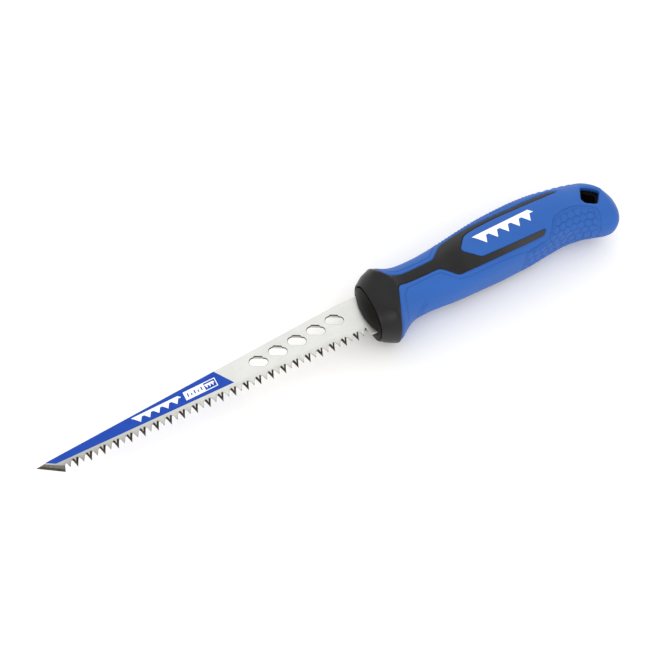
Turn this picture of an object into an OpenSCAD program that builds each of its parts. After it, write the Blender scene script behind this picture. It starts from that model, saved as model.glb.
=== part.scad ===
// Fixed-blade jab saw for plasterboard. It lies on its side: the blade is level,
// +X runs to the butt of the handle, +Y to the spine of the blade, +Z up.
// The origin is the middle of the saw's outline, on the surface that it lies on.

/* [Blade] */
// Teeth per inch
teeth_per_inch = 8; // [7:1:10]
// Number of teeth along the edge
tooth_count = 46; // [40:1:46]
// Depth of the gullets between the teeth
tooth_h = 3.9; // [3:0.1:4]
// How far every second tooth stops short of the tooth line
short_by = 0.7; // [0:0.1:1]
// Height of the hard welded edge at each tooth tip
hard_edge_h = 1.5; // [1:0.1:2]
// Thickness of the blade and its tang
blade_t = 1.2; // [1:0.1:1.6]
// Height of the spine above the tooth line at the first tooth
spine_h = 9; // [8:0.5:10]
// Rise of the spine along the blade, as a slope
spine_slope = 0.0925; // [0.08:0.0025:0.095]
// Length of the ground plunge tip ahead of the first tooth
tip_l = 17; // [15:0.5:18]

/* [Blade slots] */
// Number of slanted slots
slot_count = 5; // [3:1:5]
// Length of a slot from end to end
slot_l = 9; // [7:0.5:9.5]
// Width of a slot
slot_w = 4.4; // [3:0.2:5]
// Distance from one slot to the next
slot_pitch = 10.4; // [10:0.1:11]

/* [Handle] */
// Thickness of the handle between its two flats
handle_t = 30.4; // [30:0.2:31]
// Diameter of the domed nose plug
nose_d = 26.8; // [26:0.2:27]
// Depth of the black rubber laid into each side
rubber_depth = 4; // [3:0.5:5]

/* [Tang] */
// Diameter of the two tang pins
pin_d = 4; // [3:0.5:5]
// Length of the two tang pins
pin_l = 15; // [12:1:15]

/* [Hidden] */

inch = 25.4;
tooth_pitch = inch / teeth_per_inch;
heel_x = tooth_count * tooth_pitch;   // behind it the edge runs plain into the nose
nose_x = 150;                         // rim of the nose plug
nose_y = 10.9;                        // axis of the nose plug
nose_r = nose_d / 2;
nose_bulge = 3.2;
nose_groove = 1;                      // ring groove between the plug and the rubber
blade_top_x = 139;                    // the spine runs level behind this point
tip_y = 7.2;                          // height of the blade's point
tip_back_x = -13;                     // the ground back of the point ends here, at the spine
tip_heel = [-5.8, 0];                 // back corner of the plunge tip's cutting edge
tip_gullet_x = -4.9;
lead_tooth_y = 0.9;                   // the first small tooth stops this far short
tang_low = [[154, 3.5], [226, 9], [230, 12]];
tang_high = [[230, 16], [226, 19], [154, 18.5]];
first_slot = [92.2, 10.7];
slot_tilt = -28;
notch_h = 0.8;
notch_shift = -0.4;
print_t = 0.06;                       // enamel of the band, then ink on it, then ink on the grip
mark_t = 0.05;
grip_print_t = 0.12;
mark_tilt = 2.3;
grip_mark_tilt = 2.8;
through = 60;                         // long enough to cut right through the saw
flat_z = handle_t / 2;
fine = 32;                            // segments of a small circle

// Handle sections: place along the saw, underside, spine side, half thickness before the flats.
sections = [
    [151, -3.4, 25.2, 14.3], [154.6, -5.7, 27.5, 16.5], [157.6, -7.2, 29.4, 17.9],
    [158.6, -7.4, 29.9, 18.1], [160, -6.8, 29.6, 17.6], [162.4, -5.2, 28.8, 16.5],
    [166, -2.6, 27.3, 14.6], [171, -0.6, 26.4, 13.2], [178, 0, 26.3, 12.9], [186, -0.2, 26.8, 13.2],
    [195, -0.6, 28, 13.8], [210, 0.2, 29.9, 15.2], [225, 0.7, 31.4, 16.2], [240, 1.6, 32.2, 16.4],
    [252, 3.1, 31.7, 15.8], [262, 3.4, 30.9, 14.8], [270.1, 1.5, 30.9, 13.4], [276.5, -0.5, 29.6, 12.6],
    [281.2, -2, 28.1, 12], [285.7, -1.6, 24.5, 10.8], [289.4, 2.2, 19.8, 6.9], [291.8, 9.5, 16.3, 3.4]];
guard_end_x = 163;                    // the guard is rubber right through ahead of this
waist_z = 12.9;                       // half thickness of the handle at its waist
square_ness = 2.3;                    // 2 is an ellipse, more is squarer
ring_points = 36;

x_tip = -tip_l;
x_butt = sections[len(sections) - 1][0];
y_low = min([for (s = sections) s[1]]);
y_high = max([for (s = sections) s[2]]);
mid = [(x_tip + x_butt) / 2, (y_low + y_high) / 2];

// Seats the saw on the surface, with the origin in the middle of its outline.
module place() translate([-mid[0], -mid[1], flat_z]) children();

// A copy on each side of the blade, or on one of them: 1 is the left side, which faces up.
module side(s) mirror([0, 0, s > 0 ? 0 : 1]) children();

// ---- blade ----

function spine_y(x) = spine_h + spine_slope * min(x, blade_top_x);

// Tip of tooth i: the odd ones are the short ones.
function tooth_tip(i) = [i * tooth_pitch, (i % 2) * short_by];
function gullet(i) = [(i + 0.5) * tooth_pitch, tooth_h];

// The plunge tip and lead tooth, the row of teeth, the hidden tang, then the spine back to the tip.
module blade_outline() polygon(concat(
    [[x_tip, tip_y], tip_heel, [tip_gullet_x, tooth_h], [-tooth_pitch, lead_tooth_y], gullet(-1), [0, 0]],
    [for (i = [0:tooth_count - 1]) each [gullet(i), i + 1 < tooth_count ? tooth_tip(i + 1) : [heel_x, 0]]],
    [[nose_x + 2, 0]], tang_low, tang_high,
    [[nose_x + 2, spine_y(nose_x)], [blade_top_x, spine_y(blade_top_x)],
     [tip_back_x, spine_y(tip_back_x)]]));

// A slot with round ends and a shallow notch on its spine side.
module slot_outline() {
    for (s = [-1, 1]) translate([s * (slot_l - slot_w) / 2, 0]) circle(d = slot_w, $fn = fine);
    square([slot_l - slot_w, slot_w], center = true);
    translate([notch_shift, 0]) square([slot_l - slot_w, slot_w / 2 + notch_h]);
}

module slots() for (i = [0:slot_count - 1])
    translate([first_slot[0] + i * slot_pitch, first_slot[1] + i * slot_pitch * spine_slope, -through / 2])
        rotate([0, 0, slot_tilt]) linear_extrude(through) slot_outline();

pin_places = [[172, 11.5], [212, 13.5]];
module pin_bores(d) for (p = pin_places)
    translate([p[0], p[1], -through / 2]) cylinder(d = d, h = through, $fn = fine);

// The strip of the blade below the hard edge's weld line.
module edge_band() translate([-30, -1]) square([30 + nose_x, hard_edge_h + 1]);

// The stretch of the edge that has teeth, from the small lead tooth to the last full one.
module tooth_row() translate([-tooth_pitch - 1, -2]) square([heel_x + tooth_pitch / 2 + 1, 10]);

module blade_back() color("gainsboro") place() difference() {
    translate([0, 0, -blade_t / 2]) linear_extrude(blade_t) difference() {
        blade_outline();
        intersection() {
            edge_band();
            tooth_row();
        }
    }
    slots();
    pin_bores(pin_d);
}

// Only the tips of the teeth are hard: each one is its own small welded piece.
module hard_edge() color("darkgray") place()
    translate([0, 0, -blade_t / 2]) linear_extrude(blade_t) intersection() {
        blade_outline();
        edge_band();
        tooth_row();
    }

// ---- printing on the blade ----

band_outline = [[-12.6, 7.75], [-8.4, 5.3], [77.8, 6.2], [71.4, 15.5]];
module band(s) place() side(s) translate([0, 0, blade_t / 2]) linear_extrude(print_t)
    polygon(band_outline);

module band_left() color("royalblue") band(1);
module band_right() color("royalblue") band(-1);

// A bar with a row of saw teeth under it, its ends slanted.
module tooth_motif(n, pitch, h) let (bar = 0.36 * h, lean = 0.3 * pitch) polygon(concat(
    [[-lean, h], [(n - 0.2) * pitch, h], [(n - 0.2) * pitch + lean, h - bar]],
    [for (i = [n - 1:-1:0]) each [[(i + 0.75) * pitch, h - bar], [(i + 0.45) * pitch, 0],
                                  [i * pitch, h - bar]]]));

// Two cells in one frame: a white one with a row of ticks cut from it, a clear one with teeth.
module cell_box() {
    difference() {
        square(box_size);
        for (i = [0:4]) translate([1.4 + i * 1.7, 1.3]) square([0.6, i % 2 == 0 ? 1.9 : 1.2]);
        translate([box_split, box_rim])
            square([box_size[0] - box_split - box_rim, box_size[1] - 2 * box_rim]);
    }
    translate([box_split + 0.5, box_rim + 0.7]) tooth_motif(3, 1.5, 2.2);
}
box_size = [16, 4.5];
box_split = 10;
box_rim = 0.4;

module band_mark_outline() {
    translate([30.3, 7]) rotate(mark_tilt) tooth_motif(5, 4.5, 3.6);
    translate([54.7, 7.5]) rotate(mark_tilt) cell_box();
}
module band_mark(s) place() side(s) translate([0, 0, blade_t / 2 + print_t])
    linear_extrude(mark_t) band_mark_outline();
module band_mark_left() color("white") band_mark(1);
module band_mark_right() color("white") band_mark(-1);

// ---- handle ----

// Smooth value of column k at x: a cubic through the sections.
function span(x, i = 0) = i >= len(sections) - 2 || x < sections[i + 1][0] ? i : span(x, i + 1);
function grade(i, k) = let (a = sections[max(i - 1, 0)], b = sections[min(i + 1, len(sections) - 1)])
    (b[k] - a[k]) / (b[0] - a[0]);
function at(x, k) = let (i = span(x), a = sections[i], b = sections[i + 1], w = b[0] - a[0],
        t = (x - a[0]) / w)
    a[k] * (1 - t) * (1 - t) * (1 + 2 * t) + b[k] * t * t * (3 - 2 * t)
    + w * t * (1 - t) * (grade(i, k) * (1 - t) - grade(i + 1, k) * t);

function bulge(c) = sign(c) * pow(abs(c), 2 / square_ness);
function ring(x, grow) = let (a = at(x, 1) - grow, b = at(x, 2) + grow, h = at(x, 3) + grow)
    [for (k = [0:ring_points - 1]) let (w = 360 * (k + 0.5) / ring_points)
        [(a + b) / 2 + (b - a) / 2 * bulge(cos(w)),
         max(-flat_z - grow, min(flat_z + grow, h * bulge(sin(w))))]];

slice_x = [151, 152.8, 154.6, 156.2, 157.6, 158.6, 160, 162.4, 166, 170, 176, 184, 192, 200, 208, 216,
           225, 234, 243, 252, 260, 267, 273, 278, 282, 285, 287.5, 289.4, 290.6, 291.4, 291.79];

// The whole handle as one closed skin: a ring of points at each place along the saw.
function skin_points(grow) = [for (x = slice_x) for (p = ring(x, grow)) [x, p[0], p[1]]];
function skin_faces() = let (n = ring_points, last = len(slice_x) - 1) concat(
    [[for (k = [0:n - 1]) k]],
    [for (i = [0:last - 1]) for (k = [0:n - 1]) let (a = i * n + k, b = i * n + (k + 1) % n) each
        [[a, a + n, b], [b, a + n, b + n]]],
    [[for (k = [n - 1:-1:0]) last * n + k]]);
module blank(grow = 0) polyhedron(points = skin_points(grow), faces = skin_faces(), convexity = 4);

// Where the black rubber shows, seen from the side: the guard and two prongs.
module rubber_outline() offset(r = -1) offset(r = 1) offset(r = 0.8) offset(r = -0.8) polygon([
    [140, -20], [157.5, -20], [159.6, -6], [160.6, -2.6], [162.7, 3], [164.4, 7.1], [166, 11.1],
    [188.3, 11.2], [195.6, 4.6], [222, 4.8], [244.4, 5.3], [246.4, 8], [209.5, 7.8], [202.3, 14.9],
    [207.5, 21.8], [213, 22.9], [225, 23.6], [254, 23.6], [264, 24.2], [258.6, 26], [243, 25.8],
    [222, 25.7], [212, 26], [205, 25.7], [195.5, 24.2], [188, 17.2], [169, 16.9], [164.6, 18.3],
    [163.2, 19.8], [162, 23.1], [160.5, 28], [160, 40], [140, 40]]);

module rubber_region() {
    translate([0, 0, -through / 2]) linear_extrude(through) intersection() {
        rubber_outline();
        translate([140, -20]) square([guard_end_x - 140, through]);
    }
    for (s = [1, -1]) side(s) translate([0, 0, waist_z - rubber_depth])
        linear_extrude(through) rubber_outline();
}

// Through-hole for a hook: a rounded kite, whose four corners these are.
hang_places = [[274.6, 14.8], [276.6, 18.2], [279.6, 15.4], [277.4, 12.3]];
hang_hole_r = 2.4;                    // corner radius in the shells; the core's hole is a little smaller
core_hole_r = 1.9;
module hang_hole(r) hull() for (p = hang_places)
    translate([p[0], p[1], -through / 2]) cylinder(r = r, h = through, $fn = 20);

core_outline = [[153, 2.5], [158, 1], [166, 3.5], [178, 4.5], [200, 4.2], [240, 6], [268, 5.6],
                [279, 4.6], [283, 7], [284, 14], [281, 20], [268, 25], [240, 26.5], [212, 25],
                [190, 22.2], [168, 21.8], [158, 21], [153, 19.5]];
core_half = 8;
module core_body() translate([0, 0, -core_half]) linear_extrude(2 * core_half)
    polygon(core_outline);

module tang_slot() translate([0, 0, -blade_t / 2]) linear_extrude(blade_t) blade_outline();

module core() color("dimgray") place() difference() {
    core_body();
    tang_slot();
    pin_bores(pin_d);
    hang_hole(core_hole_r);
}

module nose_body(grow = 0) translate([nose_x, nose_y, 0]) rotate([0, 90, 0]) union() {
    dome_r = (nose_r * nose_r + nose_bulge * nose_bulge) / (2 * nose_bulge);
    intersection() {
        translate([0, 0, dome_r - nose_bulge]) sphere(r = dome_r, $fn = 96);
        translate([0, 0, -nose_bulge - 1]) cylinder(r = nose_r, h = nose_bulge + 1.01, $fn = 64);
    }
    cylinder(r = nose_r, h = 3, $fn = 64);
}
module nose_plug() color("darkslategray") place() difference() {
    nose_body();
    tang_slot();
}

module ring_groove() translate([nose_x, nose_y, 0]) rotate([0, 90, 0])
    cylinder(r = nose_r + nose_groove, h = 2.4, $fn = 64);

module rubber_grip() color([0.13, 0.13, 0.14]) place() difference() {
    intersection() {
        blank();
        rubber_region();
    }
    core_body();
    nose_body();
    ring_groove();
    hang_hole(hang_hole_r);
}

module hard_grip() color("royalblue") place() difference() {
    blank();
    rubber_region();
    core_body();
    hang_hole(hang_hole_r);
    grip_pocket(1);
    grip_pocket(-1);
}

// The same row of teeth, printed larger on the side of the grip.
module grip_mark_outline() translate([212.5, 12.5]) rotate(grip_mark_tilt) tooth_motif(5, 6.4, 6.2);

// A shallow pocket in the grip's skin, which the printed mark fills level.
module grip_pocket(s) difference() {
    side(s) translate([0, 0, flat_z - 2]) linear_extrude(5) grip_mark_outline();
    blank(-grip_print_t);
}
module grip_mark(s) place() intersection() {
    grip_pocket(s);
    blank();
}
module grip_mark_left() color("white") grip_mark(1);
module grip_mark_right() color("white") grip_mark(-1);

// ---- tang pins ----

module tang_pin(p) place() translate([p[0], p[1], -pin_l / 2])
    cylinder(d = pin_d, h = pin_l, $fn = fine);
module tang_pin_front() color("silver") tang_pin(pin_places[0]);
module tang_pin_rear() color("silver") tang_pin(pin_places[1]);

blade_back();
hard_edge();
tang_pin_front();
tang_pin_rear();
core();
nose_plug();
rubber_grip();
hard_grip();
band_left();
band_right();
band_mark_left();
band_mark_right();
grip_mark_left();
grip_mark_right();
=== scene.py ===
"""A jab saw for plasterboard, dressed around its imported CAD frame.

Lengths are in millimetres on the saw itself: x runs from the first long tooth to the butt, y from
the tooth line to the spine and z from the middle of the blade to its left side, which faces up.
"""
import math

import bmesh
import bpy
import numpy as np
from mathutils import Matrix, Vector
from mathutils.geometry import tessellate_polygon


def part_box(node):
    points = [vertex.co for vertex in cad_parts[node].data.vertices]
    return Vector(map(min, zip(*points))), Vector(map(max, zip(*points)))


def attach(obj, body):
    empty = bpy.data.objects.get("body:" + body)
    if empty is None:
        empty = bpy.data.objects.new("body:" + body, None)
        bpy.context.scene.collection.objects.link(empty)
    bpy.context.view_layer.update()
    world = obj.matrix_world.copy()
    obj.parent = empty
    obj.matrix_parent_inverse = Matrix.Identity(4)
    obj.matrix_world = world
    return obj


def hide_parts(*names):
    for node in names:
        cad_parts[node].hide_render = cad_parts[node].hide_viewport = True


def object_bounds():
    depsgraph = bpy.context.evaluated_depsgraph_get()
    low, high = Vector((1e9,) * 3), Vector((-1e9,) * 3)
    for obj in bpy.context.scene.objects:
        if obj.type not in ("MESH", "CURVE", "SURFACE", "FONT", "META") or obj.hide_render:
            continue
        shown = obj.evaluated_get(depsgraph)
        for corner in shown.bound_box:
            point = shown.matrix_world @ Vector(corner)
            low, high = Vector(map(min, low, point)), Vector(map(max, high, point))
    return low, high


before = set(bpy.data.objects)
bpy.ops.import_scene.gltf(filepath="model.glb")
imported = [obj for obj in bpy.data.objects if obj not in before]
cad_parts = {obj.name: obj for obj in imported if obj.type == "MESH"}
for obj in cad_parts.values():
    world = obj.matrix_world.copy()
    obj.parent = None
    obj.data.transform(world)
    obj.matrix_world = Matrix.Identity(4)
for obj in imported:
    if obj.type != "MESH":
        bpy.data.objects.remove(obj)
cad_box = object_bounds()

MM = 0.001
BODY = "root"

# ---- where the saw's own millimetres lie in the frame ----

TIP_X = -17.0
blade_low, blade_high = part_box("blade_back")
ORIGIN = np.array([
    blade_low.x - TIP_X * MM,
    blade_low.y,
    (blade_low.z + blade_high.z) / 2,
])
BLADE_T = (blade_high.z - blade_low.z) / MM
FLAT_Z = (cad_box[1].z - cad_box[0].z) / 2 / MM


def in_frame(points):
    """Saw millimetres to metres in the frame."""
    return np.asarray(points, float) * MM + ORIGIN


# ---- shader building ----

class Wire:
    """One output socket. Sums on it add Math nodes, so that a finish reads as plain arithmetic."""

    def __init__(self, finish, socket):
        self.finish = finish
        self.socket = socket

    def calc(self, operation, *values):
        names = dict(enumerate(values))
        return self.finish.add("ShaderNodeMath", {"operation": operation}, names)

    def __add__(self, other):
        return self.calc("ADD", self, other)

    def __sub__(self, other):
        return self.calc("SUBTRACT", self, other)

    def __rsub__(self, other):
        return self.calc("SUBTRACT", other, self)

    def __mul__(self, other):
        return self.calc("MULTIPLY", self, other)

    def __truediv__(self, other):
        return self.calc("DIVIDE", self, other)

    __radd__ = __add__
    __rmul__ = __mul__

    def clamped(self):
        """Held between 0 and 1."""
        low = self.calc("MAXIMUM", self, 0.0)
        return self.calc("MINIMUM", low, 1.0)

    def ramp(self, low, high):
        """0 below low, 1 above high, straight between them."""
        return ((self - low) / (high - low)).clamped()


class Finish:
    """A named material and the nodes of its tree."""

    def __init__(self, name):
        self.material = bpy.data.materials.new(name)
        self.material.use_nodes = True
        self.tree = self.material.node_tree
        self.tree.nodes.clear()
        self.surface = self.tree.nodes.new("ShaderNodeBsdfPrincipled")
        output = self.tree.nodes.new("ShaderNodeOutputMaterial")
        self.tree.links.new(self.surface.outputs[0], output.inputs["Surface"])

    def add(self, kind, settings=None, sockets=None, output=0):
        """A node of that kind: its settings first, then its sockets' values or wires."""
        node = self.tree.nodes.new(kind)
        for name, value in (settings or {}).items():
            setattr(node, name, value)
        self.fill(node, sockets or {})
        return Wire(self, node.outputs[output])

    def fill(self, node, sockets):
        for name, value in sockets.items():
            if isinstance(value, Wire):
                self.tree.links.new(value.socket, node.inputs[name])
            else:
                node.inputs[name].default_value = value

    def place(self, stretch=(1, 1, 1)):
        """Where a point is on the saw, in metres, stretched along each axis."""
        spot = self.add("ShaderNodeTexCoord", output="Object")
        return self.add("ShaderNodeVectorMath", {"operation": "MULTIPLY"}, {0: spot, 1: stretch})

    def along(self, axis):
        """Distance along one axis of the frame, in metres."""
        spot = self.add("ShaderNodeTexCoord", output="Object")
        return self.add("ShaderNodeSeparateXYZ", None, {0: spot}, output=axis)

    def noise(self, size, detail=3.0, rough=0.5, stretch=(1, 1, 1)):
        """Cloudy noise whose patches are about size millimetres across."""
        return self.add("ShaderNodeTexNoise", None, {
            "Vector": self.place(stretch),
            "Scale": 1 / (size * MM),
            "Detail": detail,
            "Roughness": rough,
        })

    def mix(self, share, first, second):
        """From the first colour to the second as share goes from 0 to 1."""
        settings = {"data_type": "RGBA", "clamp_factor": True}
        return self.add("ShaderNodeMix", settings, {0: share, 6: first, 7: second}, output=2)

    def bump(self, height, depth, strength=1.0):
        """Normals for a relief of that depth in millimetres."""
        return self.add("ShaderNodeBump", None, {
            "Height": height,
            "Distance": depth * MM,
            "Strength": strength,
        })

    def coat(self, **sockets):
        """Sets the surface's sockets, whose names are written with _ for a space."""
        named = {name.replace("_", " "): value for name, value in sockets.items()}
        self.fill(self.surface, named)
        return self.material


def shade(red, green, blue):
    """A screen colour from 0 to 255 as the linear colour that a shader takes."""
    def linear(v):
        v = v / 255
        return v / 12.92 if v <= 0.04045 else ((v + 0.055) / 1.055) ** 2.4
    return (linear(red), linear(green), linear(blue), 1.0)


# ---- finishes ----

BRUSH = (0.035, 1.0, 1.0)      # brush lines are long along the blade


def brushed_blade_steel():
    """Bright rolled steel, brushed along the blade, with painted shade darkening it towards the teeth
    and the point.
    """
    f = Finish("brushed_blade_steel")
    lines = f.noise(0.22, 4.0, 0.6, BRUSH)
    cloud = f.noise(9.0, 3.0)
    # Painted shade: brownish cloudy patches darken the steel towards the teeth.
    toward_teeth = 1 - (f.along("Y") / MM - ORIGIN[1] / MM).ramp(2.0, 6.5)
    teeth_side_shade = (toward_teeth * 0.55 * f.noise(3.0).ramp(0.3, 0.7)).clamped()
    clean = f.mix(cloud.ramp(0.3, 0.7), shade(211, 212, 207), shade(218, 219, 214))
    streaked = f.mix(lines.ramp(0.35, 0.75) * 0.3, clean, shade(168, 168, 166))
    # Painted shade: the steel turns darker grey towards the point, more so near the teeth.
    toward_point = 1 - (f.along("X") / MM).ramp(-150.0, -60.0)
    point_side_shade = f.mix(toward_point * (0.3 + toward_teeth * 0.5), streaked, shade(104, 102, 98))
    return f.coat(
        Base_Color=f.mix(teeth_side_shade, point_side_shade, shade(150, 143, 130)),
        Metallic=0.82,
        Roughness=0.22 + lines * 0.14 + cloud * 0.05,
        Normal=f.bump(lines, 0.012),
    )


def ground_steel():
    """The dark bevels of the teeth and the point: coarse grinding marks, straw and brown from heat. It
    is also put on the slots' walls as painted shade.
    """
    f = Finish("ground_steel")
    marks = f.noise(0.16, 3.0, 0.6, (1.0, 0.08, 1.0))
    heat = f.noise(1.6, 2.0)
    burnt = f.mix(heat.ramp(0.35, 0.65), shade(66, 59, 52), shade(100, 87, 70))
    return f.coat(
        Base_Color=f.mix(marks.ramp(0.4, 0.7) * 0.5, burnt, shade(42, 39, 37)),
        Metallic=0.9,
        Roughness=0.34 + marks * 0.2,
        Normal=f.bump(marks, 0.02),
    )


def honed_point_steel():
    """The long facet of the point: pale grey, with grinding marks straight across its edge."""
    f = Finish("honed_point_steel")
    marks = f.noise(0.2, 3.0, 0.6, (1.0, 0.12, 1.0))
    return f.coat(
        Base_Color=f.mix(marks.ramp(0.35, 0.7), shade(128, 127, 125), shade(66, 64, 62)),
        Metallic=0.85,
        Roughness=0.3 + marks * 0.2,
        Normal=f.bump(marks, 0.02),
    )


def hardened_tooth_steel():
    """The hard tips: a shade warmer and duller than the blade behind them."""
    f = Finish("hardened_tooth_steel")
    lines = f.noise(0.25, 3.0, 0.6, BRUSH)
    heat = f.noise(1.8, 2.0)
    warm = f.mix(heat.ramp(0.35, 0.7), shade(172, 168, 159), shade(146, 137, 121))
    return f.coat(
        Base_Color=f.mix(lines.ramp(0.4, 0.8) * 0.3, warm, shade(112, 105, 94)),
        Metallic=0.85,
        Roughness=0.34 + lines * 0.2,
        Normal=f.bump(lines, 0.012),
    )


def turned_pin_steel():
    """Plain bar steel with fine turning rings."""
    f = Finish("turned_pin_steel")
    rings = f.noise(0.3, 2.0, 0.5, (0.1, 0.1, 1.0))
    return f.coat(
        Base_Color=f.mix(rings, shade(150, 150, 150), shade(188, 188, 186)),
        Metallic=0.9,
        Roughness=0.3 + rings * 0.2,
        Normal=f.bump(rings, 0.01),
    )


def blue_moulded_plastic():
    """Satin blue polypropylene: fine spark texture, broad flow clouds, rubbed smoother in patches."""
    f = Finish("blue_moulded_plastic")
    grain = f.noise(0.34, 3.0, 0.55)
    flow = f.noise(26.0, 3.0, 0.5, (0.4, 1.0, 1.0))
    rubbed_and_highlight = f.noise(11.0, 4.0)
    base = f.mix(flow.ramp(0.3, 0.7), shade(37, 88, 164), shade(43, 95, 172))
    return f.coat(
        Base_Color=f.mix(grain.ramp(0.35, 0.65) * 0.16, base, shade(28, 72, 145)),
        Roughness=0.40 + grain * 0.10 + rubbed_and_highlight * 0.08,
        Normal=f.bump(grain, 0.016, 0.8),
        Specular_IOR_Level=0.22,
    )


def black_grip_rubber():
    """Soft black overmould: a dense matte grain, with a painted grey highlight along the prongs."""
    f = Finish("black_grip_rubber")
    grain = f.noise(0.3, 4.0, 0.6)
    wear_and_sheen = f.noise(8.0, 4.0, 0.6)
    plain_rubber = f.mix(wear_and_sheen.ramp(0.35, 0.75), shade(20, 20, 21), shade(28, 28, 29))
    # Painted highlight: the base turns grey towards the prongs, in patches.
    rubbed_and_highlight = (f.along("X") / MM).ramp(62.0, 100.0) * (0.6 + wear_and_sheen * 0.4)
    base = f.mix(rubbed_and_highlight, plain_rubber, shade(62, 60, 62))
    return f.coat(
        Base_Color=f.mix(grain.ramp(0.4, 0.7) * 0.3, base, shade(40, 40, 41)),
        Roughness=0.30 + grain * 0.10 + wear_and_sheen * 0.06,
        Normal=f.bump(grain, 0.02, 0.8),
        Specular_IOR_Level=0.19,
    )


def black_nose_plastic():
    """Harder black plastic of the nose plug and the core, with faint swirls from the mould."""
    f = Finish("black_nose_plastic")
    swirl = f.noise(2.4, 5.0, 0.6, (1.0, 0.35, 1.0))
    grain = f.noise(0.28, 2.0)
    return f.coat(
        Base_Color=f.mix(swirl.ramp(0.4, 0.75), shade(12, 11, 10), shade(24, 22, 20)),
        Roughness=0.34 + swirl * 0.14,
        Normal=f.bump(grain, 0.012, 0.7),
        Specular_IOR_Level=0.06,
    )


def blue_band_enamel():
    """Screen-printed enamel on the blade: even blue, with the mesh of the screen just showing."""
    f = Finish("blue_band_enamel")
    pool = f.noise(5.0, 3.0)
    mesh_grain = f.noise(0.2, 2.0)
    base = f.mix(pool.ramp(0.3, 0.7), shade(27, 66, 160), shade(32, 73, 168))
    return f.coat(
        Base_Color=f.mix(mesh_grain * 0.2, base, shade(22, 56, 145)),
        Roughness=0.34 + mesh_grain * 0.16,
        Normal=f.bump(mesh_grain, 0.008, 0.7),
        Specular_IOR_Level=0.12,
    )


def white_print_ink():
    """Opaque white ink, a little uneven where it lies thin."""
    f = Finish("white_print_ink")
    thin = f.noise(1.1, 4.0)
    return f.coat(
        Base_Color=f.mix(thin.ramp(0.55, 0.8) * 0.4, shade(240, 242, 244), shade(212, 220, 232)),
        Roughness=0.42 + thin * 0.12,
        Normal=f.bump(thin, 0.01, 0.6),
    )


def pale_floor_paper():
    """Seamless white paper."""
    f = Finish("pale_floor_paper")
    fibre = f.noise(1.5, 4.0)
    return f.coat(
        Base_Color=f.mix(fibre, shade(246, 245, 244), shade(249, 248, 246)),
        Roughness=0.9,
        Specular_IOR_Level=0.1,
    )


FINISH = {
    "blade": brushed_blade_steel(),
    "bevel": ground_steel(),
    "point": honed_point_steel(),
    "teeth": hardened_tooth_steel(),
    "pin": turned_pin_steel(),
    "blue": blue_moulded_plastic(),
    "rubber": black_grip_rubber(),
    "nose": black_nose_plastic(),
    "enamel": blue_band_enamel(),
    "ink": white_print_ink(),
}


# ---- meshes ----

def show_piece(name, mesh, finishes, node):
    """An object that rides on the body and stands for a CAD node."""
    for key in finishes:
        mesh.materials.append(FINISH[key])
    piece = bpy.data.objects.new(name, mesh)
    bpy.context.scene.collection.objects.link(piece)
    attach(piece, BODY)
    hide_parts(node)
    return piece


def show_skin(name, points, faces, finish, node, slot):
    """A smooth piece from points in saw millimetres and the faces between them."""
    mesh = bpy.data.meshes.new(name)
    mesh.from_pydata([tuple(p) for p in in_frame(points)], [], faces)
    mesh.polygons.foreach_set("use_smooth", [True] * len(mesh.polygons))
    return show_piece(name, mesh, [finish], node)


def bump_fall(t):
    """1 at the middle of a groove, falling smoothly to 0 at t = 1."""
    t = np.clip(np.abs(t), 0, 1)
    return (1 - t) ** 2 * (1 + 2 * t)


def ease(t):
    """A smooth step from 0 to 1."""
    t = np.clip(t, 0, 1)
    return t * t * (3 - 2 * t)


def rounded(corners, radius, steps=5):
    """A closed outline with each corner eased over about radius to each side."""
    corners = np.asarray(corners, float)
    out = []
    for before, corner, after in zip(np.roll(corners, 1, 0), corners, np.roll(corners, -1, 0)):
        back, ahead = before - corner, after - corner
        reach = min(radius, 0.45 * np.linalg.norm(back), 0.45 * np.linalg.norm(ahead))
        start = corner + back / np.linalg.norm(back) * reach
        end = corner + ahead / np.linalg.norm(ahead) * reach
        for t in np.linspace(0, 1, steps):
            out.append((1 - t) ** 2 * start + 2 * t * (1 - t) * corner + t * t * end)
    return np.array(out)


def outline_distance(x, y, outline):
    """Distance to a closed outline: negative inside it."""
    p = np.stack([x, y], -1)
    best = np.full(x.shape, np.inf)
    inside = np.zeros(x.shape, bool)
    for a, b in zip(outline, np.roll(outline, -1, 0)):
        edge = b - a
        length = float(edge @ edge)
        if length < 1e-12:
            continue
        t = np.clip(((p - a) @ edge) / length, 0, 1)
        gap = p - a - t[..., None] * edge
        best = np.minimum(best, (gap ** 2).sum(-1))
        crosses = (a[1] > y) != (b[1] > y)
        if a[1] != b[1]:
            inside ^= crosses & (x < a[0] + (y - a[1]) / (b[1] - a[1]) * edge[0])
    return np.sqrt(best) * np.where(inside, -1, 1)


def line_distance(x, y, points):
    """Distance to an open line through the points."""
    p = np.stack([x, y], -1)
    best = np.full(x.shape, np.inf)
    points = np.asarray(points, float)
    for a, b in zip(points[:-1], points[1:]):
        edge = b - a
        t = np.clip(((p - a) @ edge) / float(edge @ edge), 0, 1)
        best = np.minimum(best, ((p - a - t[..., None] * edge) ** 2).sum(-1))
    return np.sqrt(best)


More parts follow.
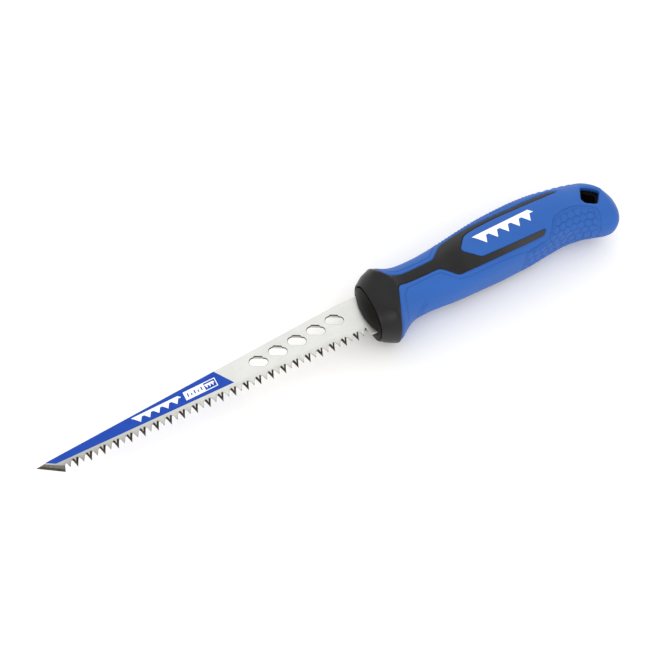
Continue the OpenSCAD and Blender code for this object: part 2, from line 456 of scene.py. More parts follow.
class Skin:
    """A surface laid out on stations and turns, finer where its relief is, and cut along fields.

    The surface gives a base point for each (station, turn); the relief moves it along its normal.
    """

    def __init__(self, surface, relief, stations, turns, busy):
        self.surface = surface
        self.relief = relief
        fine_u = np.interp(np.arange(2 * len(stations) - 1) / 2, np.arange(len(stations)), stations)
        fine_w = np.arange(2 * turns) * math.pi / turns
        grid_u, grid_w = np.meshgrid(fine_u, fine_w, indexing="ij")
        self.columns = 2 * turns
        self.u = list(grid_u.ravel())
        self.w = list(grid_w.ravel())
        self.fixed = {}
        wanted = self.wanted_quads(busy(grid_u, grid_w))
        self.faces = self.lay_faces(wanted)

    def wanted_quads(self, active):
        """A coarse quad is split where any of its fine points is busy."""
        wrapped = np.concatenate([active, active[:, :1]], 1)
        rows, columns = (active.shape[0] - 1) // 2, active.shape[1] // 2
        wanted = np.zeros((rows, columns), bool)
        for i in range(3):
            for j in range(3):
                wanted |= wrapped[i:i + 2 * rows:2, j:j + 2 * columns:2][:rows, :columns]
        return wanted

    def lay_faces(self, wanted):
        rows, columns = wanted.shape
        faces = []

        def corner(i, j):
            return i * self.columns + j % self.columns

        def split(i, j):
            return 0 <= i < rows and wanted[i, j % columns]

        for i in range(rows):
            for j in range(columns):
                a, b = 2 * i, 2 * j
                if wanted[i, j]:
                    for k in (0, 1):
                        for m in (0, 1):
                            faces.append([corner(a + k, b + m), corner(a + k, b + m + 1),
                                          corner(a + k + 1, b + m + 1), corner(a + k + 1, b + m)])
                    continue
                face = [corner(a, b)]
                if split(i - 1, j):
                    face.append(corner(a, b + 1))
                face.append(corner(a, b + 2))
                if split(i, j + 1):
                    face.append(corner(a + 1, b + 2))
                face.append(corner(a + 2, b + 2))
                if split(i + 1, j):
                    face.append(corner(a + 2, b + 1))
                face.append(corner(a + 2, b))
                if split(i, j - 1):
                    face.append(corner(a + 1, b))
                faces.append(face)
        return faces

    def cut(self, faces, field):
        """Splits faces where the field is 0, and gives those above 0, those below, and the rim."""
        value = list(field(np.array(self.u), np.array(self.w)))
        made, above, below = {}, [], []
        for face in faces:
            signs = [value[k] > 0 for k in face]
            if all(signs):
                above.append(face)
            elif not any(signs):
                below.append(face)
            else:
                over, under = [], []
                for k, nxt in zip(face, face[1:] + face[:1]):
                    (over if value[k] > 0 else under).append(k)
                    if (value[k] > 0) != (value[nxt] > 0):
                        new = self.crossing(made, value, k, nxt)
                        over.append(new)
                        under.append(new)
                above.append(over)
                below.append(under)
        return above, below, set(made.values())

    def crossing(self, made, value, k, nxt):
        key = (min(k, nxt), max(k, nxt))
        if key not in made:
            a, b = key
            share = value[a] / (value[a] - value[b])
            turn_b = self.w[b] + 2 * math.pi * round((self.w[a] - self.w[b]) / (2 * math.pi))
            made[key] = len(self.u)
            self.u.append(self.u[a] + share * (self.u[b] - self.u[a]))
            self.w.append(self.w[a] + share * (turn_b - self.w[a]))
            value.append(0.0)
        return made[key]

    def wall(self, faces, rim, moves):
        """Quads from a cut rim inward: each move gives the next row's points from the rim's."""
        edges = []
        for face in faces:
            for k, nxt in zip(face, face[1:] + face[:1]):
                if k in rim and nxt in rim:
                    edges.append((k, nxt))
        ids = sorted({k for edge in edges for k in edge})
        base = self.points(ids)
        last = {k: k for k in ids}
        added = []
        for move in moves:
            row = {}
            for k, spot in zip(ids, move(base)):
                row[k] = len(self.u)
                self.u.append(self.u[k])
                self.w.append(self.w[k])
                self.fixed[row[k]] = spot
            added += [[last[b], last[a], row[a], row[b]] for a, b in edges]
            last = row
        return added

    def points(self, ids):
        """Finished places of those points."""
        u = np.array([self.u[k] for k in ids])
        w = np.array([self.w[k] for k in ids])
        step_u, step_w = 0.02, 0.0008
        base = self.surface(u, w)
        across = self.surface(u, w + step_w) - self.surface(u, w - step_w)
        ahead = self.surface(u + step_u, w) - self.surface(u - step_u, w)
        normal = np.cross(across, ahead)
        size = np.linalg.norm(normal, axis=1, keepdims=True)
        normal = np.where(size > 1e-9, normal / np.maximum(size, 1e-9), [1.0, 0, 0])
        done = base + normal * self.relief(u, w, base)[:, None]
        for row, k in enumerate(ids):
            if k in self.fixed:
                done[row] = self.fixed[k]
        return done

    def mesh(self, faces):
        """Points and faces with only the points that those faces use."""
        ids = sorted({k for face in faces for k in face})
        place = {k: row for row, k in enumerate(ids)}
        return self.points(ids), [[place[k] for k in face] for face in faces]


def weld(piece, gap=0.002):
    """Merges points that lie together and drops faces that have no area."""
    mesh = bmesh.new()
    mesh.from_mesh(piece.data)
    bmesh.ops.remove_doubles(mesh, verts=mesh.verts, dist=gap * MM)
    bmesh.ops.dissolve_degenerate(mesh, dist=gap * MM / 4, edges=mesh.edges)
    bmesh.ops.recalc_face_normals(mesh, faces=mesh.faces)
    mesh.to_mesh(piece.data)
    mesh.free()


def thicken(piece, depth):
    """Gives an open skin its wall thickness, inward."""
    wall = piece.modifiers.new("wall", "SOLIDIFY")
    wall.thickness = depth * MM
    wall.offset = -1
    wall.use_even_offset = False


# ---- handle: its sections ----

# Place along the saw, underside, spine side, half thickness.
SECTIONS = np.array([
    [150.5, -3.4, 25.5, 14.3], [154.3, -5.7, 28.2, 16.5], [157.6, -7.2, 29.4, 17.9],
    [158.6, -7.4, 29.9, 18.1], [160, -6.8, 29.6, 17.6], [162.4, -5.2, 28.8, 16.5],
    [166, -2.6, 27.3, 14.6], [171, -0.6, 26.4, 13.2], [178, 0, 26.3, 12.9],
    [186, -0.2, 26.8, 13.2], [195, -0.6, 28, 13.8], [210, 0.2, 29.9, 15.2],
    [225, 0.7, 31.4, 16.2], [240, 1.6, 32.2, 16.4], [252, 3.1, 31.7, 15.8],
    [262, 3.4, 30.9, 14.8], [270.1, 1.5, 30.9, 13.4], [276.5, -0.5, 29.6, 12.6],
    [281.2, -2, 28.1, 12], [285.7, -1.6, 24.5, 10.8], [289.4, 2.2, 19.8, 6.9],
    [291.8, 9.5, 16.3, 3.4],
])
FRONT_X, BUTT_X = SECTIONS[0, 0], SECTIONS[-1, 0]
ROUNDNESS = 2.3                # exponent of a section's outline: 2 is an ellipse
BELLY_SQUARE = 0.8             # how much squarer it gets where the belly is fullest
LIP_R = 0.25                   # rolled front lip of the guard
LIP_L = 0.3
LIP_DEPTH = 0.9                # how far the lip turns in towards the plug
LIP_LEAN = 0.6                 # how far back it leans for each unit that it turns in
CAP_L = 2.4                    # closing cap of the butt
CAP_RISE = 0.7
BELLY_FROM, BELLY_RUN = 172, 20
BELLY_HALF, BELLY_SPAN = 13.6, 2.4
FLAT_BLEND = 1.6               # the belly eases into the flat that the saw lies on
FLAT_EDGE = 0.05               # the guard's flat is crisp
FLAT_MARGIN = 0.02


def section(x, column):
    """A column of the sections at x: a cubic through them, level with its neighbours' slope."""
    place, value = SECTIONS[:, 0], SECTIONS[:, column]
    slope = np.empty(len(place))
    slope[1:-1] = (value[2:] - value[:-2]) / (place[2:] - place[:-2])
    slope[0] = (value[1] - value[0]) / (place[1] - place[0])
    slope[-1] = (value[-1] - value[-2]) / (place[-1] - place[-2])
    i = np.clip(np.searchsorted(place, x, side="right") - 1, 0, len(place) - 2)
    width = place[i + 1] - place[i]
    t = (x - place[i]) / width
    flat = value[i] * (1 - t) ** 2 * (1 + 2 * t) + value[i + 1] * t * t * (3 - 2 * t)
    return flat + width * t * (1 - t) * (slope[i] * (1 - t) - slope[i + 1] * t)


def soft_min(a, b, blend):
    """The smaller of two values, eased over blend where they are close."""
    share = np.clip(0.5 + 0.5 * (b - a) / blend, 0, 1)
    return b + (a - b) * share - blend * share * (1 - share)


def power(c, exponent):
    """The power of a cosine or sine, with its sign kept."""
    return np.sign(c) * np.abs(c) ** exponent


def handle_surface(u, w):
    """Point of the handle at station u and turn w: turn 0 is the spine side, pi the underside."""
    x = np.clip(u, FRONT_X, BUTT_X)
    under, top, half = (section(x, column) for column in (1, 2, 3))
    roll = np.clip((FRONT_X - u) / LIP_L, 0, 1) * math.pi / 2
    turned_in = np.maximum(FRONT_X - LIP_L - u, 0)
    shrink = LIP_R * (1 - np.cos(roll)) + turned_in
    cap = np.clip((u - BUTT_X) / CAP_L, 0, 1) * math.pi / 2
    scale = np.cos(cap)
    place = x - LIP_R * np.sin(roll) + LIP_LEAN * turned_in + CAP_RISE * np.sin(cap)
    belly = ease((x - BELLY_FROM) / BELLY_RUN)
    full = np.clip((half - BELLY_HALF) / BELLY_SPAN, 0, 1) * belly
    exponent = 2 / (ROUNDNESS + BELLY_SQUARE * full)
    half = half + belly * (soft_min(half, FLAT_Z - FLAT_MARGIN, FLAT_BLEND) - half)
    tall = ((top - under) / 2 - shrink) * scale
    deep = (half - shrink) * scale
    y = (under + top) / 2 + tall * power(np.cos(w), exponent)
    z = deep * power(np.sin(w), exponent)
    z = np.sign(z) * soft_min(np.abs(z), FLAT_Z, FLAT_EDGE)
    return np.stack([place, y, z], -1)


class Unrolled:
    """How far round the handle a point lies from the middle of the underside."""

    def __init__(self):
        self.stations = np.arange(FRONT_X, BUTT_X)
        self.turns = np.linspace(0, math.pi, 161)
        u, t = np.meshgrid(self.stations, self.turns, indexing="ij")
        spots = handle_surface(u, math.pi - t)
        steps = np.linalg.norm(np.diff(spots, axis=1), axis=-1)
        self.arc = np.concatenate([np.zeros((len(u), 1)), np.cumsum(steps, 1)], 1)

    def __call__(self, u, w):
        turn = np.abs(np.mod(w, 2 * math.pi) - math.pi)
        i = np.clip(u - FRONT_X, 0, len(self.stations) - 1.001)
        j = np.clip(turn / math.pi * (len(self.turns) - 1), 0, len(self.turns) - 1.001)
        a, b = i.astype(int), j.astype(int)
        p, q = i - a, j - b
        low = self.arc[a, b] * (1 - q) + self.arc[a, b + 1] * q
        high = self.arc[a + 1, b] * (1 - q) + self.arc[a + 1, b + 1] * q
        from_under = low * (1 - p) + high * p
        half_girth = self.arc[a, -1] * (1 - p) + self.arc[a + 1, -1] * p
        return from_under, half_girth - from_under


unrolled = Unrolled()

# ---- handle: its relief ----

# Black rubber seen from the flat side: the guard and, behind it, a prong below and one above.
RUBBER_OUTLINE = rounded([
    [140, -20], [157.5, -20], [159.6, -6], [160.6, -2.6], [162.7, 3], [164.4, 7.1], [166, 11.1],
    [188.3, 11.2], [195.6, 4.3], [209, 4], [222, 4.1], [234, 4.4], [244.4, 4.9], [246.4, 7.6],
    [235, 7.3], [222, 7.2], [209.5, 7.4], [201.9, 14.9], [207.5, 21.8], [213, 22.9],
    [225, 23.6], [254, 23.6], [264, 24.2], [258.6, 26], [243, 25.8], [222, 25.7], [212, 26],
    [205, 25.7], [195.5, 24.2], [188, 17.2], [169, 16.9], [164.6, 18.3], [163.2, 19.8],
    [162, 23.1], [160.5, 28], [160, 40], [140, 40],
], 1.9)
HOLE_OUTLINE = rounded([
    [271.6, 14.8], [276.1, 22], [278, 21.8], [283, 18.6], [284.4, 16.2], [279, 9.8],
    [277.6, 9.6], [272.4, 12.3],
], 1.7)

# A groove has a depth and half a width.
SEAM_DEPTH, SEAM_HALF = 0.55, 0.75
RUBBER_SUNK, RUBBER_EDGE = 0.3, 1.2
SUNK_FROM, SUNK_RUN = 164, 6
TRIM_DEPTH, TRIM_HALF = 0.5, 0.46
TRIM_OFFSET = 2.0              # the upper trim line runs this far from the seam
TRIM_FROM, TRIM_TO = 158, 240
TRIM_ABOVE = 14
PANEL_X, PANEL_TOP = 200, 24.2  # no trim line on the panel between the prongs
TRIM_LINE = [
    [164.6, -9], [164.1, -3.2], [165.3, 1.6], [166.8, 5.8], [169.4, 8.5], [173.4, 8.9], [185, 9.4],
    [188, 9], [190.6, 6.6], [195, 3], [200, 2.3], [222, 2.5], [236, 2.2], [243, 3],
]
# Two nested grooves behind the guard, as place along the saw and distance round.
HOOK_LINES = ([[171, -1], [171.3, 2], [173.5, 4.1], [176.2, 6.8]],
              [[172.7, -1], [173.4, 1], [174.8, 2.9], [176.7, 4.8]])
HOOK_DEPTH, HOOK_HALF = 0.46, 0.42
HOLE_ROUND = 0.9               # rolled rim of the hang hole

# Palm pad on the underside, as place along the saw and distance round from the underside's middle.
PAD_OUTLINE = rounded([
    [232.4, -14], [232.4, 8.1], [237.8, 8.4], [244.7, 9.6], [247.9, 11.6], [250.4, 16],
    [252.6, 18], [257, 19], [264.3, 18.8], [270, 17.6], [274.6, 16.2], [276.7, 14.6],
    [276.8, 11], [275.9, 3], [275.8, -14],
], 2.2)
PAD_LINE_DEPTH, PAD_LINE_HALF = 0.58, 0.42
PAD_SECOND_LINE, SECOND_SHARE = 1.3, 0.7
CELL = 4.1                     # honeycomb cells, flat to flat
CELL_X, CELL_ROUND = 265.8, 15.2
CELL_DEPTH, CELL_HALF = 0.6, 0.48
CELL_MARGIN = 1.7

RIB_PITCH, RIB_DEPTH = 1.9, 0.62
RIB_FROM, RIB_TO, RIB_REACH = 197, 253, 13.5
SCALLOP_PITCH, SCALLOP_DEPTH = 4.5, 0.65
SCALLOP_FROM, SCALLOP_TO, SCALLOP_REACH = 254, 276, 15


def cell_edge_distance(x, s):
    """Distance to the nearest edge of a honeycomb whose rows run along the saw."""
    row = CELL * math.sqrt(3)
    best = np.full(x.shape, np.inf)
    edge = np.zeros(x.shape)
    for shift_x, shift_s in ((0, 0), (CELL / 2, row / 2)):
        dx = x - shift_x - CELL * np.round((x - shift_x) / CELL)
        ds = s - shift_s - row * np.round((s - shift_s) / row)
        gap = dx * dx + ds * ds
        reach = np.maximum(np.abs(dx), np.maximum(np.abs(dx / 2 + ds * math.sqrt(3) / 2),
                                                  np.abs(dx / 2 - ds * math.sqrt(3) / 2)))
        edge = np.where(gap < best, CELL / 2 - reach, edge)
        best = np.minimum(best, gap)
    return edge


def window(value, low, high, fade):
    """1 between low and high, fading to 0 over fade on each side."""
    return ease((value - low) / fade + 0.5) * ease((high - value) / fade + 0.5)


def rubber_distance(u, w):
    spot = handle_surface(u, w)
    return outline_distance(spot[..., 0], spot[..., 1], RUBBER_OUTLINE)


def hole_distance(u, w):
    spot = handle_surface(u, w)
    return outline_distance(spot[..., 0], spot[..., 1], HOLE_OUTLINE)


def handle_relief(u, w, base):
    """How far the handle's skin stands out of its smooth section, in millimetres."""
    x, y = base[..., 0], base[..., 1]
    seam = outline_distance(x, y, RUBBER_OUTLINE)
    hole = outline_distance(x, y, HOLE_OUTLINE)
    from_under, from_spine = unrolled(u, w)
    rise = -SEAM_DEPTH * bump_fall(seam / SEAM_HALF)
    rise -= RUBBER_SUNK * ease(-seam / RUBBER_EDGE) * ease((x - SUNK_FROM) / SUNK_RUN)

    upper = (seam > 0) & (y > TRIM_ABOVE) & ~((x > PANEL_X) & (y < PANEL_TOP))
    trim = bump_fall((seam - TRIM_OFFSET) / TRIM_HALF) * upper * window(x, TRIM_FROM, TRIM_TO, 4)
    trim += bump_fall(line_distance(x, y, TRIM_LINE) / TRIM_HALF)
    rise -= TRIM_DEPTH * trim
    for hook in HOOK_LINES:
        rise -= HOOK_DEPTH * bump_fall(line_distance(x, from_under, hook) / HOOK_HALF)

    pad = outline_distance(x, from_under, PAD_OUTLINE)
    rise -= PAD_LINE_DEPTH * bump_fall(pad / PAD_LINE_HALF)
    rise -= PAD_LINE_DEPTH * SECOND_SHARE * bump_fall((pad + PAD_SECOND_LINE) / PAD_LINE_HALF)
    cells = cell_edge_distance(x - CELL_X, from_under - CELL_ROUND)
    rise -= CELL_DEPTH * bump_fall(cells / CELL_HALF) * ease((-pad - CELL_MARGIN) / 0.6)

    ribs = 0.5 + 0.5 * np.cos(2 * math.pi * (x - RIB_FROM) / RIB_PITCH)
    reach = window(x, RIB_FROM, RIB_TO, 3) * ease(RIB_REACH - from_spine) * ease(seam / 0.8 - 1)
    rise -= RIB_DEPTH * ribs * reach
    scallops = np.abs(np.sin(math.pi * (x - SCALLOP_FROM) / SCALLOP_PITCH))
    reach = window(x, SCALLOP_FROM, SCALLOP_TO, 2) * ease((SCALLOP_REACH - from_spine) / 4)
    rise -= SCALLOP_DEPTH * (1 - scallops) * reach

    rounding = np.clip(1 - hole / HOLE_ROUND, 0, 1)
    rise -= HOLE_ROUND * (1 - np.sqrt(1 - rounding ** 2))
    return np.where(u <= FRONT_X, 0, rise)


STEEP = 0.02                   # a rise between neighbours that calls for small faces
SEAM_BAND, HOLE_BAND = 1.2, 1.6


def handle_busy(u, w):
    """Where the handle's skin needs small faces."""
    base = handle_surface(u, w)
    seam = outline_distance(base[..., 0], base[..., 1], RUBBER_OUTLINE)
    hole = outline_distance(base[..., 0], base[..., 1], HOLE_OUTLINE)
    rise = handle_relief(u, w, base)
    steep = np.zeros(u.shape, bool)
    slope = np.abs(np.diff(rise, axis=0)) > STEEP
    steep[:-1] |= slope
    steep[1:] |= slope
    around = np.abs(rise - np.roll(rise, 1, 1)) > STEEP
    steep |= around | np.roll(around, -1, 1)
    return steep | (np.abs(seam) < SEAM_BAND) | (np.abs(hole) < HOLE_BAND)


STATION_STEP = 0.8
TURNS = 122
SHELL_T = 2.4
CORE_HALF = 8.0                # the hang hole's blue wall goes in as far as the core


def make_handle():
    """The blue shell and the black overmould, parted along their seam."""
    rolled = FRONT_X - LIP_L
    stations = np.unique(np.concatenate([
        np.linspace(rolled - LIP_DEPTH, rolled, 5),
        np.linspace(rolled, FRONT_X, 5),
        np.linspace(FRONT_X, BUTT_X, int((BUTT_X - FRONT_X) / STATION_STEP)),
        np.linspace(BUTT_X, BUTT_X + CAP_L, 7),
    ]))
    skin = Skin(handle_surface, handle_relief, stations, TURNS, handle_busy)
    kept, _, hole_rim = skin.cut(skin.faces, hole_distance)
    blue, black, _ = skin.cut(kept, rubber_distance)

    def hole_step(share):
        def move(rim):
            low = rim.copy()
            low[:, 2] = rim[:, 2] + share * (np.sign(rim[:, 2]) * CORE_HALF - rim[:, 2])
            return low
        return move

    blue += skin.wall(blue, hole_rim, [hole_step(share) for share in (0.1, 0.5, 1.0)])
    grip = show_skin("blue_hard_grip", *skin.mesh(blue), "blue", "hard_grip", "blue_plastic")
    rubber = show_skin("black_rubber_overmould", *skin.mesh(black), "rubber", "rubber_grip",
                       "black_rubber")
    for piece in (grip, rubber):
        weld(piece)
        thicken(piece, SHELL_T)


# ---- nose plug ----

NOSE_X, NOSE_Y, NOSE_R = 150.0, 10.9, 13.4
NOSE_BULGE = 3.2
NOSE_EDGE = 0.7
NOSE_SKIRT = 2.6
NOSE_WALL = 1.2
NOSE_TURNS = 72
NOSE_ARC = NOSE_EDGE * math.pi / 2
SLIT_Y, SLIT_HALF = 10.95, 11.4
SLIT_GAP = 0.35                # clearance round the blade
SLIT_DEEP = 2.5
SLIT_ROUND, SLIT_FALL = 0.5, 0.35


def nose_surface(u, w):
    """The plug's face: u is the distance out from its axis, then back along its skirt."""
    flat_r = NOSE_R - NOSE_EDGE
    r = np.minimum(u, flat_r)
    dome = NOSE_BULGE * (1 - (r / NOSE_R) ** 2)
    turn = np.clip((u - flat_r) / NOSE_ARC, 0, 1) * math.pi / 2
    back = np.maximum(u - flat_r - NOSE_ARC, 0)
    edge_x = NOSE_X - NOSE_BULGE * (1 - (flat_r / NOSE_R) ** 2)
    x = np.where(u <= flat_r, NOSE_X - dome, edge_x + NOSE_EDGE * (1 - np.cos(turn)) + back)
    out = r + NOSE_EDGE * np.sin(turn)
    return np.stack([x, NOSE_Y + out * np.cos(w), out * np.sin(w)], -1)


def slit_distance(u, w):
    """Distance to the plug's slit for the blade."""
    spot = nose_surface(u, w)
    dy = np.abs(spot[..., 1] - SLIT_Y) - SLIT_HALF
    dz = np.abs(spot[..., 2]) - BLADE_T / 2 - SLIT_GAP
    away = np.hypot(np.maximum(dy, 0), np.maximum(dz, 0)) + np.minimum(np.maximum(dy, dz), 0)
    return np.where(u > NOSE_R, 1.0, away)


def nose_relief(u, w, base):
    """The slit's edge is rounded over."""
    near = np.clip(1 - slit_distance(u, w) / SLIT_ROUND, 0, 1)
    return -SLIT_FALL * near ** 2 * (u < NOSE_R)


def make_nose():
    """The domed plug that closes the front of the handle round the blade."""
    flat_r = NOSE_R - NOSE_EDGE
    stations = np.concatenate([
        [0.02], np.linspace(0.5, flat_r, 30),
        flat_r + np.linspace(0, NOSE_ARC, 6)[1:],
        flat_r + NOSE_ARC + np.linspace(0, NOSE_SKIRT, 4)[1:],
    ])

    def busy(u, w):
        return slit_distance(u, w) < 0.9

    skin = Skin(nose_surface, nose_relief, stations, NOSE_TURNS, busy)
    kept, _, rim = skin.cut(skin.faces, slit_distance)

    def deeper(rim_points):
        low = rim_points.copy()
        low[:, 0] += SLIT_DEEP
        return low

    kept += skin.wall(kept, rim, [deeper])
    plug = show_skin("nose_plug_face", *skin.mesh(kept), "nose", "nose_plug", "nose_plastic")
    weld(plug)
    thicken(plug, NOSE_WALL)


# ---- blade ----

PITCH = 25.4 / 8
TEETH = 46
GULLET_Y = 3.9
SHORT_BY = 0.7
RAKE = 0.35                    # tips lean this far towards the point
BEVEL = 0.8                    # how far a bevel is ground in from the edge
BEVEL_FOOT = 0.25              # steel left under it
EDGE_BREAK = 0.06
GULLET_R = 0.42
WELD_Y = 1.5                   # the hard tips are welded on along this line
SPINE_AT_0, SPINE_SLOPE, SPINE_TOP_X = 9.0, 0.0925, 139.0


def spine_y(x):
    """The spine rises straight from the point and is level under the handle."""
    return SPINE_AT_0 + SPINE_SLOPE * min(x, SPINE_TOP_X)


POINT_HEEL = (-5.8, 0.0)       # where the point's cutting edge ends, before the lead tooth
POINT_TIP = (TIP_X, 7.2)
POINT_SPINE = (-13, spine_y(-13))
LEFT, NONE, RIGHT, BOTH = 1, 0, -1, 2


def blade_loop():
    """The blade's outline, one row per point: x, y and the side that its bevel is ground on."""
    corners = []

    def gullet(x, side_before, side_after):
        """The round bottom of a gullet, with the bevels of the teeth on each side of it."""
        for t, side in ((-1.0, side_before), (-0.55, side_before), (0.0, NONE),
                        (0.55, side_after), (1.0, side_after)):
            corners.append((x + GULLET_R * t, GULLET_Y - GULLET_R * abs(t) ** 2.2, side))

    corners += [(*POINT_HEEL, BOTH), (-5.15, 3.1, LEFT), (-4.85, 3.75, NONE), (-4.5, 3.9, NONE),
                (-4.1, 3.4, RIGHT), (-PITCH, 0.9, RIGHT)]
    for i in range(TEETH):
        side = LEFT if i % 2 == 0 else RIGHT
        gullet((i - 0.5) * PITCH, -side, side)
        corners.append((i * PITCH - RAKE * 0.5, SHORT_BY * (i % 2), side))
    gullet((TEETH - 0.5) * PITCH, RIGHT, LEFT)
    shoulder = spine_y(SPINE_TOP_X)
    heel_and_tang = [(TEETH * PITCH, 0), (152, 0), (154, 3.5), (226, 9), (230, 12), (230, 16),
                     (226, 19), (154, 18.5), (152, shoulder), (146, shoulder - 0.02),
                     (142, shoulder - 0.1), (137, spine_y(137) - 0.12)]
    spine = [(x, spine_y(x)) for x in (100, 60, 20, -8)]
    corners += [(x, y, NONE) for x, y in heel_and_tang + spine]
    corners += [(*POINT_SPINE, BOTH), (*POINT_TIP, BOTH)]
    return corners


# Where the double-ground facets of the point lie: outline, first ridge, top of the grind.
POINT_RIDGES = {
    POINT_HEEL: ((-5.9, 1.48), (-6.05, 3.2)),
    POINT_TIP: ((-14.9, 7.2), (-12.9, 7.28)),
    POINT_SPINE: ((-12.8, 7.62), (-12.6, 7.45)),
}
RIDGE_Z = 0.32


def inward(points):
    """How far to move each point of a closed outline for an inset of 1, mitred at corners."""
    points = np.asarray(points, float)
    ahead = np.roll(points, -1, 0) - points
    ahead /= np.linalg.norm(ahead, axis=1, keepdims=True)
    behind = np.roll(ahead, 1, 0)
    normal_a = np.stack([-ahead[:, 1], ahead[:, 0]], 1)
    normal_b = np.stack([-behind[:, 1], behind[:, 0]], 1)
    spread = 1 + (normal_a * normal_b).sum(1, keepdims=True)
    return (normal_a + normal_b) / np.maximum(spread, 0.22)


def blade_levels(loop):
    """Five rings of points up the blade's edge, from its lower face to its upper one."""
    move = inward([(x, y) for x, y, _ in loop])
    half = BLADE_T / 2
    rings = [[] for _ in range(5)]
    for (x, y, side), (mx, my) in zip(loop, move):
        if side == BOTH:
            first, second = POINT_RIDGES[(x, y)]
            levels = [(*second, -half), (*first, -RIDGE_Z), (x, y, 0.0), (*first, RIDGE_Z),
                      (*second, half)]
        else:
            low = BEVEL if side == RIGHT else EDGE_BREAK
            high = BEVEL if side == LEFT else EDGE_BREAK
            low_z = half - BEVEL_FOOT if side == RIGHT else EDGE_BREAK - half
            high_z = BEVEL_FOOT - half if side == LEFT else half - EDGE_BREAK
            levels = [(x + mx * low, y + my * low, -half), (x, y, low_z),
                      (x, y, (low_z + high_z) / 2), (x, y, high_z),
                      (x + mx * high, y + my * high, half)]
        for ring, spot in zip(rings, levels):
            ring.append(spot)
    return rings


SLOT_PLACES = [(92.2 + 10.4 * i, 10.7 + SPINE_SLOPE * 10.4 * i) for i in range(5)]
SLOT_L, SLOT_W, SLOT_TILT = 9.0, 4.4, math.radians(-28)
NOTCH_H, NOTCH_SHIFT = 0.8, -0.4
LEDGE_Z = -0.2                 # pressed ledge along a slot's notch
BURR = 0.14                    # broken edge that the punch leaves round a slot; its dark finish is painted shade


def slot_loop(place, notch, grow):
    """A slanted slot with round ends; its spine side steps out by the notch."""
    r = SLOT_W / 2 + grow
    reach = (SLOT_L - SLOT_W) / 2
    points = [(reach + r * math.cos(a), r * math.sin(a)) for a in np.linspace(-1.5, 1.25, 12)]
    shoulder = reach + NOTCH_SHIFT
    points += [(shoulder, r), (shoulder - 0.25, r + notch * 0.8), (shoulder - 0.7, r + notch),
               (0.7 - reach + NOTCH_SHIFT, r + notch), (0.25 - reach + NOTCH_SHIFT, r + notch * 0.8),
               (NOTCH_SHIFT - reach, r)]
    points += [(-reach + r * math.cos(a), r * math.sin(a)) for a in np.linspace(1.9, 4.65, 12)]
    cos, sin = math.cos(SLOT_TILT), math.sin(SLOT_TILT)
    return [(place[0] + x * cos - y * sin, place[1] + x * sin + y * cos) for x, y in points]


BRIGHT, GROUND_AND_SHADE, HONED = 0, 1, 2  # places of a blade piece's finishes


def blade_mesh():
    """The whole blade as one closed mesh, with the finish of each face."""
    mesh = bmesh.new()
    half = BLADE_T / 2
    loop = blade_loop()
    sides = [side for _, _, side in loop]
    rings = [[mesh.verts.new(p) for p in ring] for ring in blade_levels(loop)]
    for level in range(4):
        for k in range(len(loop)):
            nxt = (k + 1) % len(loop)
            quad = [rings[level][k], rings[level][nxt], rings[level + 1][nxt], rings[level + 1][k]]
            face = mesh.faces.new(quad)
            start = loop[k][:2]
            if start == POINT_TIP:
                face.material_index = GROUND_AND_SHADE if level in (1, 2) else HONED
            elif NONE not in (sides[k], sides[nxt]) and start != POINT_HEEL:
                face.material_index = GROUND_AND_SHADE
    slots = []
    for place in SLOT_PLACES:
        steps = ((0.0, BURR, -half), (0.0, 0.0, BURR - half), (0.0, 0.0, LEDGE_Z),
                 (NOTCH_H, 0.0, LEDGE_Z), (NOTCH_H, 0.0, half - BURR), (NOTCH_H, BURR, half))
        rows = [[mesh.verts.new((x, y, z)) for x, y in slot_loop(place, notch, grow)]
                for notch, grow, z in steps]
        for step, (low, high) in enumerate(zip(rows[:-1], rows[1:])):
            for k in range(len(low)):
                nxt = (k + 1) % len(low)
                face = mesh.faces.new([low[nxt], low[k], high[k], high[nxt]])
                # Painted shade: the slot's walls and edge bevels take the dark ground finish; only the
                # ledge stays bright.
                face.material_index = BRIGHT if step == 2 else GROUND_AND_SHADE
        slots.append((rows[0], rows[-1]))
    for ring, pick, turned in ((rings[0], 0, True), (rings[-1], 1, False)):
        outlines = [ring] + [pair[pick] for pair in slots]
        corners = [[Vector((v.co.x, v.co.y, 0)) for v in outline] for outline in outlines]
        verts = [v for outline in outlines for v in outline]
        for triangle in tessellate_polygon(corners):
            trio = [verts[k] for k in triangle]
            a, b, c = (v.co.xy for v in trio)
            upward = (b - a).cross(c - a) > 0
            mesh.faces.new(trio if upward != turned else trio[::-1])
    bmesh.ops.remove_doubles(mesh, verts=mesh.verts, dist=0.001)
    bmesh.ops.dissolve_degenerate(mesh, dist=0.0005, edges=mesh.edges)
    bmesh.ops.recalc_face_normals(mesh, faces=mesh.faces)
    return mesh


TOOTH_ROW = (-4.6, 144.4)      # from the lead tooth to the last full one


def tooth_part(mesh):
    """The faces, edges and points of the tooth row, which the weld line crosses."""
    first, last = TOOTH_ROW
    faces = [f for f in mesh.faces
             if any(v.co.y < WELD_Y and first < v.co.x < last for v in f.verts)
             and min(v.co.x for v in f.verts) > TIP_X + 1]
    row = set(faces)
    edges = [e for e in mesh.edges if not row.isdisjoint(e.link_faces)]
    verts = [v for v in mesh.verts if not row.isdisjoint(v.link_faces)]
    return faces, edges, verts


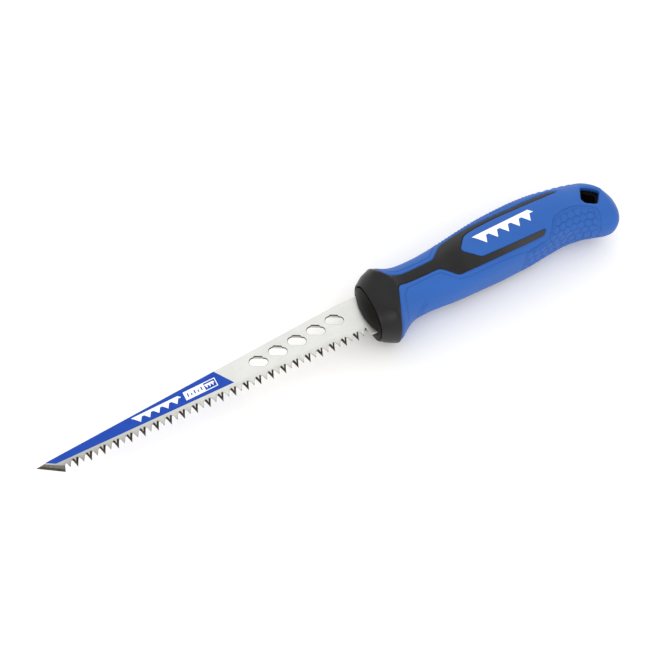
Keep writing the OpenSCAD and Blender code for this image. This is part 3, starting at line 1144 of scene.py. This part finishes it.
def make_blade():
    """The bright blade and the row of hard tooth tips below the weld line."""
    for name, node, slot, finishes, keep_tips in (
            ("brushed_blade", "blade_back", "blade_steel", ["blade", "bevel", "point"], False),
            ("hard_tooth_tips", "hard_edge", "edge_steel", ["teeth", "bevel", "point"], True)):
        mesh = blade_mesh()
        faces, edges, verts = tooth_part(mesh)
        if keep_tips:
            wanted = set(faces)
            spare = [f for f in mesh.faces if f not in wanted]
            bmesh.ops.delete(mesh, geom=spare, context="FACES")
            geom = list(mesh.faces) + list(mesh.edges) + list(mesh.verts)
        else:
            geom = faces + edges + verts
        cut = bmesh.ops.bisect_plane(
            mesh, geom=geom, dist=1e-5, plane_co=(0, WELD_Y, 0), plane_no=(0, 1, 0),
            clear_inner=not keep_tips, clear_outer=keep_tips)
        rim = [e for e in cut["geom_cut"] if isinstance(e, bmesh.types.BMEdge) and e.is_valid]
        bmesh.ops.holes_fill(mesh, edges=rim, sides=0)
        bmesh.ops.recalc_face_normals(mesh, faces=mesh.faces)
        data = bpy.data.meshes.new(name)
        for v in mesh.verts:
            v.co = Vector(in_frame(v.co))
        mesh.to_mesh(data)
        mesh.free()
        show_piece(name, data, finishes, node)


# ---- finishes of the CAD nodes that stay ----

def dress(node, key):
    """Gives a CAD node its finish."""
    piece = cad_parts[node]
    piece.data.materials.clear()
    piece.data.materials.append(FINISH[key])


def dress_nodes():
    dress("core", "nose")
    for pin in ("tang_pin_front", "tang_pin_rear"):
        dress(pin, "pin")
    for side in ("left", "right"):
        dress("band_" + side, "enamel")
        dress("band_mark_" + side, "ink")
        dress("grip_mark_" + side, "ink")


# ---- floor, light and camera ----

FLOOR_REACH = 6.0


def make_floor():
    """Wide pale paper under the saw."""
    mesh = bpy.data.meshes.new("floor")
    signs = ((-1, -1), (1, -1), (1, 1), (-1, 1))
    corners = [(FLOOR_REACH * sx, FLOOR_REACH * sy, 0) for sx, sy in signs]
    mesh.from_pydata(corners, [], [(0, 1, 2, 3)])
    floor = bpy.data.objects.new("floor", mesh)
    mesh.materials.append(pale_floor_paper())
    bpy.context.scene.collection.objects.link(floor)


def aim(thing, place, target):
    """Puts a light or camera at place, looking at target."""
    thing.location = Vector(place)
    thing.rotation_mode = "QUATERNION"
    thing.rotation_quaternion = (Vector(target) - Vector(place)).to_track_quat("-Z", "Y")


def make_light(name, place, size, power):
    """A square soft lamp aimed at the middle of the saw."""
    light = bpy.data.lights.new(name, "AREA")
    light.size = size
    light.energy = power
    lamp = bpy.data.objects.new(name, light)
    bpy.context.scene.collection.objects.link(lamp)
    aim(lamp, place, (0, 0, 0.015))


ROOM_BRIGHTNESS = 1.2


def make_studio():
    """A bright white room, a soft lamp behind the spine side and one low on the tooth side."""
    scene = bpy.context.scene
    room = bpy.data.worlds.new("white_room")
    room.use_nodes = True
    background = room.node_tree.nodes["Background"]
    background.inputs["Color"].default_value = (1.0, 1.0, 1.0, 1.0)
    background.inputs["Strength"].default_value = ROOM_BRIGHTNESS
    scene.world = room
    scene.view_settings.view_transform = "Standard"
    make_light("key", (0.15, 1.35, 0.85), 1.0, 3.0)
    make_light("fill", (-0.8, -1.3, 0.7), 0.6, 4.5)


CAMERA_AZIMUTH = math.radians(-26.711)
CAMERA_ELEVATION = math.radians(61.737)
CAMERA_DISTANCE = 0.43636
CAMERA_LENS = 50.0
LOOK_AT = (129.725, 11.094, 0.0)


def make_camera():
    """A camera above the tooth side, nearer to the point than to the butt."""
    data = bpy.data.cameras.new("camera")
    data.lens = CAMERA_LENS
    data.sensor_width = 36.0
    data.clip_start = 0.01
    camera = bpy.data.objects.new("camera", data)
    bpy.context.scene.collection.objects.link(camera)
    back = Vector((
        math.sin(CAMERA_AZIMUTH) * math.cos(CAMERA_ELEVATION),
        -math.cos(CAMERA_AZIMUTH) * math.cos(CAMERA_ELEVATION),
        math.sin(CAMERA_ELEVATION),
    ))
    target = Vector(in_frame(LOOK_AT))
    aim(camera, target + back * CAMERA_DISTANCE, target)
    bpy.context.scene.camera = camera


make_camera()
make_handle()
make_nose()
make_blade()
dress_nodes()
make_floor()
make_studio()
